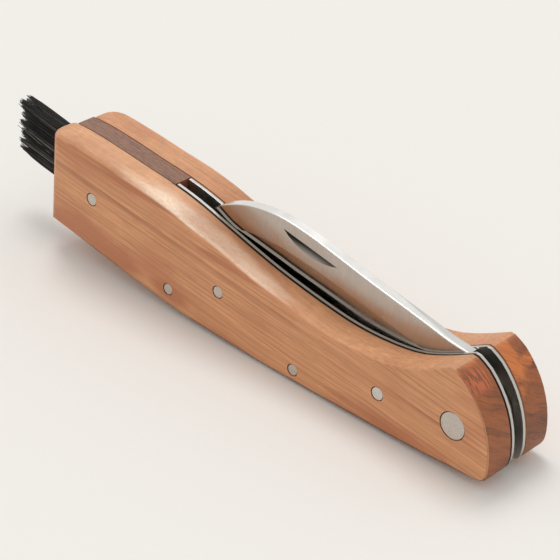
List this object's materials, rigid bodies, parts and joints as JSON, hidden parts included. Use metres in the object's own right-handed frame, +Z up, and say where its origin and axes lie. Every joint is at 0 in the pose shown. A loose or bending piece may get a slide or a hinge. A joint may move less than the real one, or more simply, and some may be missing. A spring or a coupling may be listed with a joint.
{
  "type": "folding mushroom knife",
  "caption": "Folding knife for mushrooms: a curved blade closes into a wooden handle with steel liners, and a short bristle brush is set in the handle's other end.",
  "frame": {"origin": "middle of the bounding box's base, with the closed knife standing on the curved back of its handle", "axes": "+X from the brush to the blade's pivot, +Y away from the side with the nail nick, +Z up, which is where the blade opens"},
  "size_m": [0.1428, 0.018, 0.0299],
  "materials": {
    "cherry_wood": "oiled, fine straight grain",
    "walnut_wood": "oiled, darker streaks",
    "satin_steel": "satin",
    "polished_steel": "polished",
    "spring_steel": "satin",
    "pin_steel": "ground level with the wood",
    "black_bristle": "stiff bristles"
  },
  "bodies": {
    "handle": {"scale_nick_side": "cherry_wood", "scale_far_side": "cherry_wood", "liner_nick_side": "satin_steel", "liner_far_side": "satin_steel", "walnut_spacer": "walnut_wood", "back_spring": "spring_steel", "pivot_pin": "pin_steel", "brush_bristles": "black_bristle", "pin_brush_end": "pin_steel", "pin_spring_tail": "pin_steel", "pin_slot": "pin_steel", "pin_spring_middle": "pin_steel", "pin_stop": "pin_steel"},
    "blade": {"blade": "polished_steel"}
  },
  "joints": [
    {"name": "blade_pivot", "type": "hinge", "parent": "handle", "child": "blade", "pos_m": [0.06231, 0, 0.01094], "axis": [0, 1, 0], "range_deg": [0, 180]}
  ]
}
